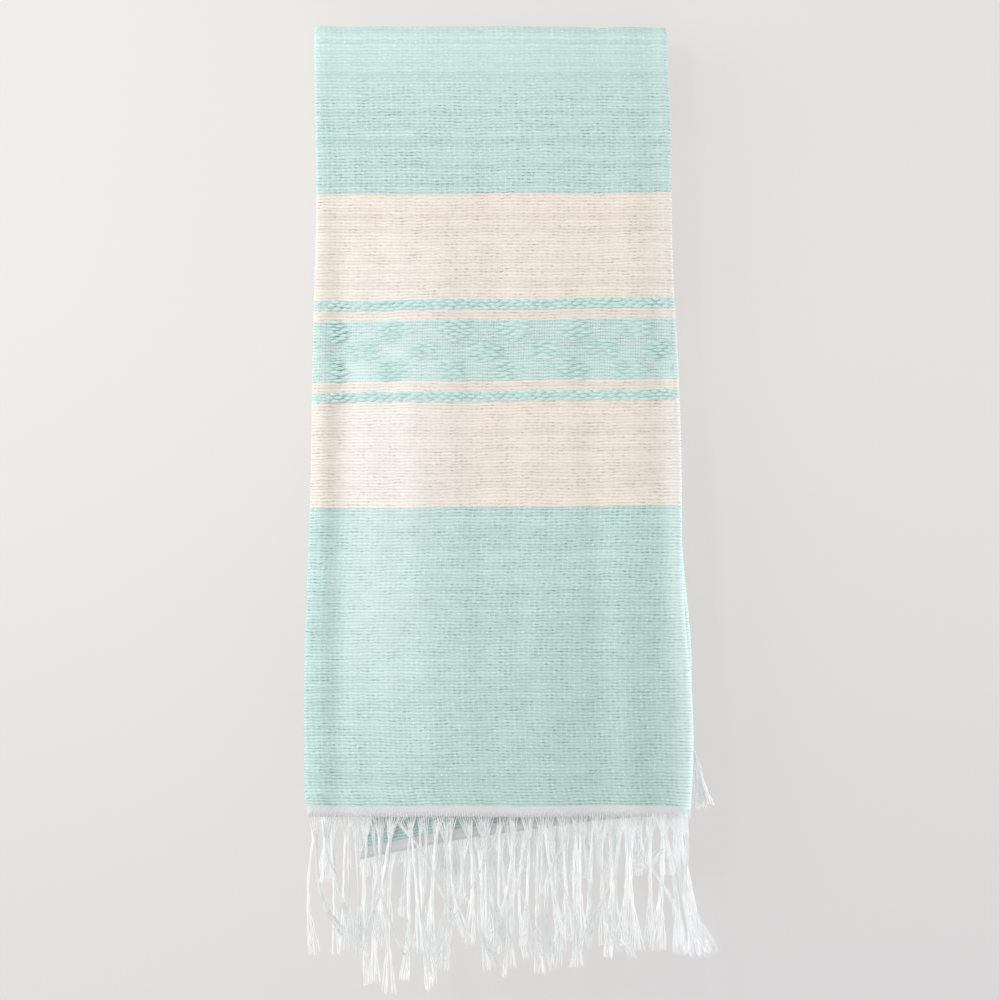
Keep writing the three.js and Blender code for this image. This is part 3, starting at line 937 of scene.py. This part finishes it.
def length_property(name, text, default):
    return FloatProperty(name=name, description=text, default=default, min=0.0, unit="LENGTH", precision=5)


def colour_property(name, text, default):
    limits = {"subtype": "COLOR", "min": 0.0, "max": 1.0}
    return FloatVectorProperty(name=name, description=text, default=default, **limits)


def power_property(name, text, default):
    return FloatProperty(name=name, description=text, default=default, unit="POWER")


class TowelSizes(bpy.types.PropertyGroup):
    thickness: length_property("Cloth thickness", "Thickness of one layer of cloth", 1.1 * MM)
    layer_pitch_top: length_property("Layer pitch at the rail", "Between layers, over the rail", 2 * MM)
    layer_pitch_hem: length_property("Layer pitch at the hem", "Between layers, at the hems", 3.6 * MM)
    relief_depth: length_property("Relief", "Height of the soft lengthwise ridges at the hem", 2.7 * MM)
    row_pitch: length_property("Weft pitch", "Between neighbouring rows of weft", 1.7 * MM)
    pair_pitch: length_property("Warp pitch", "Between neighbouring pairs of warp threads", 2.8 * MM)
    mesh_step: length_property("Mesh step", "Length of a face of the cloth's mesh", 3.5 * MM)
    braid_length: length_property("Braid length", "Length of a float in the thin stripes", 5.2 * MM)
    float_length: length_property("Float length", "Length of a float in the pattern band", 6.6 * MM)
    lozenge_period: length_property("Lozenge period", "Between neighbouring lozenges", 32.7 * MM)
    fringe_length: length_property("Fringe length", "Length of a hanging warp end", 76 * MM)
    thread_diameter: length_property("Thread diameter", "Thickness of a warp end", 0.46 * MM)
    thread_spacing: length_property("Thread spacing", "Between warp ends at the hem", 0.7 * MM)
    braid_rows: IntProperty(name="Braid rows", description="Rows of floats in a thin stripe", default=3, min=1)


class TowelColours(bpy.types.PropertyGroup):
    mint: colour_property("Mint", "Mint weft", (0.53, 0.718, 0.684))
    mint_cool: colour_property("Cool mint", "Mint weft where it is bluer", (0.565, 0.725, 0.71))
    mint_green: colour_property("Green mint", "Mint weft where it is greener", (0.47, 0.655, 0.60))
    # Pale mint is the colour of the painted highlight along the fold edges and of the painted patch of light.
    mint_highlight: colour_property("Pale mint", "Mint weft where it is worn and faded", (0.79, 0.95, 0.94))
    mint_gap: colour_property("Mint gap", "Shadow between rows of mint weft", (0.27, 0.47, 0.41))
    cream: colour_property("Cream", "Cream weft", (0.85, 0.775, 0.70))
    cream_gap: colour_property("Cream gap", "Shadow between rows of cream weft", (0.60, 0.49, 0.38))
    warp: colour_property("White", "White warp and fringe", (0.93, 0.945, 0.945))
    wall: colour_property("Wall", "Wall", (0.80, 0.772, 0.757))
    wall_low: colour_property("Low wall", "Wall low down, and floor", (0.695, 0.681, 0.682))


class TowelStage(bpy.types.PropertyGroup):
    lens: FloatProperty(name="Lens", description="Focal length of the camera", default=220.0, unit="CAMERA")
    field: length_property("Field", "Width that the camera takes in at the panel", 0.55)
    wall_gap: length_property("Wall", "From the rail's axis back to the wall", 0.030)
    key_power: power_property("Key", "Key light", 4.2)
    rim_power: power_property("Rim", "Light from the right", 5.0)
    behind_power: power_property("Back", "Light on the back of the towel", 9.0)
    side_power: power_property("Side", "Soft light from the left", 6.0)
    top_power: power_property("Top", "Soft light on the fold from above", 0.8)
    low_power: power_property("Low", "Light on the fringe from below", 2.4)
    sky: FloatProperty(name="Fill", description="Strength of the even light all round", default=0.54)


class TowelSettings(bpy.types.PropertyGroup):
    sizes: PointerProperty(type=TowelSizes)
    colours: PointerProperty(type=TowelColours)
    stage: PointerProperty(type=TowelStage)


# ---- Operators ----------------------------------------------------------------------------------


def fringe_nodes(side, layer):
    return [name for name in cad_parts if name.startswith(f"{side}_fringe_{layer}_")]


class TOWEL_OT_fringe(bpy.types.Operator):
    """Hang the warp ends from both hems, layer by layer."""

    bl_idname = "towel.fringe"
    bl_label = "Fringe"

    def execute(self, context):
        sizes, colours = context.scene.towel.sizes, context.scene.towel.colours
        tree = thread_tree()
        # Lit and shaded copies of one white: the front panel's fringe, which casts no shadow, is toned down as
        # painted shade for the shadow it lacks; the fringes behind it are brighter and glow more, painted
        # light that fills their shade.
        outer = fringe_finish("outer_fringe", colours, 0.82, glow=0.04)
        inner = fringe_finish("inner_fringe", colours, 0.96, glow=0.13)
        for s, side in enumerate(SIDES):
            fold = Fold(Leaf(side, sizes), sizes)
            for k, layer in enumerate(LAYERS):
                fringe = Fringe(fold, layer, sizes, seed=10 * s + k + 1)
                fringe.hang()
                name = f"{side}_fringe_{layer}"
                outermost = (side, layer) == ("front", "panel")
                look = outer if outermost else inner
                values = {"Diameter": sizes.thread_diameter, "Sides": 4, "Material": look}
                piece = grown(name, fringe.mesh(name), tree, values)
                piece.visible_shadow = not outermost  # loose cotton lets light through to what is behind
                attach(piece, f"{side}_leaf")
                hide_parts(*fringe_nodes(side, layer))
        return {"FINISHED"}


class TOWEL_OT_floats(bpy.types.Operator):
    """Lay the loose weft of the pattern bands and thin stripes on both panels."""

    bl_idname = "towel.floats"
    bl_label = "Pattern floats"

    def execute(self, context):
        sizes, colours = context.scene.towel.sizes, context.scene.towel.colours
        tree, look = float_tree(), float_finish(colours)
        for s, side in enumerate(SIDES):
            fold = Fold(Leaf(side, sizes), sizes)
            name = f"{side}_pattern_floats"
            floats = laid_floats(fold, sizes, seed=31 + s)
            piece = grown(name, floats.mesh(name), tree, {"Sides": 6, "Rings": 7, "Material": look})
            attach(piece, f"{side}_leaf")
        return {"FINISHED"}


COLUMNS = {"tucked": 44, "tight": 8, "panel": 72, "wide": 12, "wrap": 48}
ARCH_ROWS = 22
SEAM_DEPTH = 4 * MM  # the two pieces of cloth meet this far down the back leaf


class TOWEL_OT_cloth(bpy.types.Operator):
    """Make the folded cloth: the front leaf with the fold over the rail, and the back leaf."""

    bl_idname = "towel.cloth"
    bl_label = "Cloth"

    def execute(self, context):
        sizes, colours = context.scene.towel.sizes, context.scene.towel.colours
        front, back = (Fold(Leaf(side, sizes), sizes) for side in SIDES)
        middle_out = front.leaf.half + sizes.layer_pitch_top
        arch = math.pi * (front.leaf.inner + middle_out)
        length = front.leaf.reach + arch + back.leaf.reach
        look = cloth_finish(sizes, colours, length, front.leaf.levels())

        def leaf_rows(fold, start, stop):
            depth = np.linspace(start, stop, max(2, round(abs(stop - start) / sizes.mesh_step)) + 1)
            x, out, u, drop = fold.section(depth / fold.leaf.reach, COLUMNS)
            points = fold.point(x, out, depth[:, None], drop)
            from_hem = fold.leaf.reach - depth
            v = from_hem if fold is front else length - from_hem
            return points, u, np.broadcast_to(v[:, None], u.shape), fold.worn(x, depth / fold.leaf.reach)

        angle = np.linspace(0, math.pi, ARCH_ROWS + 1)[1:-1, None]
        x, out, u, _ = front.section(np.zeros(len(angle)), COLUMNS)
        share = angle / math.pi
        top = over_rail(front, x, out, angle)
        top_v = np.broadcast_to(front.leaf.reach + arch * share, u.shape)

        top_part = (top, u, top_v, front.worn(x, np.zeros(len(angle))))
        front_part = [leaf_rows(front, front.leaf.reach, 0.0), top_part, leaf_rows(back, 0.0, SEAM_DEPTH)]
        back_part = [leaf_rows(back, SEAM_DEPTH, back.leaf.reach)]
        for name, parts in (("towel_front", front_part), ("towel_back", back_part)):
            points, us, vs, worn = (np.vstack([part[k] for part in parts]) for k in range(4))
            piece = link(name, grid_mesh(name, points, us, vs, worn))
            piece.data.materials.append(look)
            wall = piece.modifiers.new("thickness", "SOLIDIFY")
            wall.thickness, wall.offset = sizes.thickness, 0.0
            wall.use_even_offset = False
            side = name.split("_")[1]
            bands = [f"{side}_{stripe}" for stripe in STRIPES]
            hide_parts(*bands, *(["top_fold"] if side == "front" else []))
            if side == "front":
                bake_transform(piece)
            else:
                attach(piece, "back_leaf")
        return {"FINISHED"}


# Where each light stands and aims, its size and its colour. None aims it at the towel's middle.
LIGHTS = {
    "key": ((-0.55, -1.45, 0.40), None, 0.22, (1.0, 0.985, 0.965)),
    "top": ((-0.1, -0.22, 0.6), (0.0, 0.0, 0.0), 0.5, (1.0, 0.99, 0.98)),
    "side": ((-0.85, -0.45, 0.1), None, 0.9, (1.0, 0.985, 0.97)),
    "rim": ((0.9, 0.06, -0.4), (0.1, 0.0, -0.35), 0.3, (0.93, 0.98, 1.0)),
    "low": ((0.0, -1.1, -1.0), (0.0, 0.0, -0.42), 0.7, (0.98, 0.99, 1.0)),
    "behind": ((-0.9, 1.8, 0.5), None, 1.2, (1.0, 0.99, 0.98)),
}
SKY_COLOUR = (0.985, 0.99, 1.0, 1.0)
WALL_REACH, WALL_TOP = 3.0, 2.5  # how far the wall and floor run to the sides and front, and up
COVE, COVE_STEPS = 0.25, 12  # the quarter-round between wall and floor
FLOOR_DROP = 0.3  # from the towel's lowest point to the floor
CAMERA_RIGHT, CAMERA_DROP = 0.0052, 0.2602  # from the rail's middle, and below the top of the towel


def area_light(name, place, aim, size, power, colour):
    light = bpy.data.lights.new(name, "AREA")
    light.energy, light.size, light.color = power, size, colour
    made = bpy.data.objects.new(name, light)
    made.location = place
    made.rotation_euler = (Vector(aim) - Vector(place)).to_track_quat("-Z", "Y").to_euler()
    bpy.context.scene.collection.objects.link(made)


class TOWEL_OT_stage(bpy.types.Operator):
    """Set up the wall, the floor, the lights and the camera."""

    bl_idname = "towel.stage"
    bl_label = "Stage"

    def execute(self, context):
        stage, colours = context.scene.towel.stage, context.scene.towel.colours
        low, high = (Vector(corner) for corner in CAD_BOX)
        self.wall(stage, colours, low.z - FLOOR_DROP)
        self.lights(context.scene, stage, (low + high) / 2)
        self.camera(context.scene, stage, high.z)
        context.scene.view_settings.view_transform = "Standard"
        return {"FINISHED"}

    def wall(self, stage, colours, floor):
        """One sheet: the wall, a quarter-round cove and the floor."""
        profile = [(stage.wall_gap, WALL_TOP)]
        for k in range(COVE_STEPS + 1):
            angle = math.pi / 2 * k / COVE_STEPS
            y, z = stage.wall_gap - COVE * (1 - math.cos(angle)), floor + COVE * (1 - math.sin(angle))
            profile.append((y, z))
        profile.append((-WALL_REACH, floor))
        points = [(x, y, z) for y, z in profile for x in (-WALL_REACH, WALL_REACH)]
        faces = [(2 * k, 2 * k + 1, 2 * k + 3, 2 * k + 2) for k in range(len(profile) - 1)]
        mesh = bpy.data.meshes.new("wall_and_floor")
        mesh.from_pydata(points, [], faces)
        if mesh.polygons[0].normal.y > 0:
            mesh.flip_normals()
        mesh.shade_smooth()
        mesh.materials.append(wall_finish("pale_plaster", colours.wall, colours.wall_low))
        made = link("wall_and_floor", mesh)
        made.visible_shadow = False

    def lights(self, scene, stage, middle):
        world = bpy.data.worlds.new("soft_room")
        world.use_nodes = True
        background = world.node_tree.nodes["Background"]
        background.inputs["Color"].default_value = SKY_COLOUR
        background.inputs["Strength"].default_value = stage.sky
        scene.world = world
        for name, (place, aim, size, colour) in LIGHTS.items():
            area_light(name, place, aim or tuple(middle), size, getattr(stage, f"{name}_power"), colour)

    def camera(self, scene, stage, top):
        lens = bpy.data.cameras.new("camera")
        lens.lens, lens.sensor_width = stage.lens, 36.0
        distance = stage.field * stage.lens / lens.sensor_width
        made = bpy.data.objects.new("camera", lens)
        panel = (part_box("front_top_field")[0].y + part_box("front_header")[0].y) / 2
        made.location = (CAMERA_RIGHT, panel - distance, top - CAMERA_DROP)
        made.rotation_euler = (math.pi / 2, 0, 0)
        scene.collection.objects.link(made)
        scene.camera = made


class TOWEL_PT_panel(bpy.types.Panel):
    """Lists the steps and settings of the towel."""

    bl_label = "Towel"
    bl_space_type = "VIEW_3D"
    bl_region_type = "UI"
    bl_category = "Towel"

    def draw(self, context):
        layout, settings = self.layout, context.scene.towel
        for operator in OPERATORS:
            layout.operator(operator.bl_idname)
        for group in (settings.sizes, settings.colours, settings.stage):
            box = layout.box()
            for name in group.__annotations__:
                box.prop(group, name)


OPERATORS = (TOWEL_OT_stage, TOWEL_OT_fringe, TOWEL_OT_floats, TOWEL_OT_cloth)
CLASSES = (TowelSizes, TowelColours, TowelStage, TowelSettings, *OPERATORS, TOWEL_PT_panel)


def register():
    for each in CLASSES:
        bpy.utils.register_class(each)
    bpy.types.Scene.towel = PointerProperty(type=TowelSettings)


def unregister():
    del bpy.types.Scene.towel
    for each in reversed(CLASSES):
        bpy.utils.unregister_class(each)


def main():
    register()
    bpy.ops.towel.stage()
    bpy.ops.towel.fringe()
    bpy.ops.towel.floats()
    bpy.ops.towel.cloth()


if __name__ == "__main__":
    main()
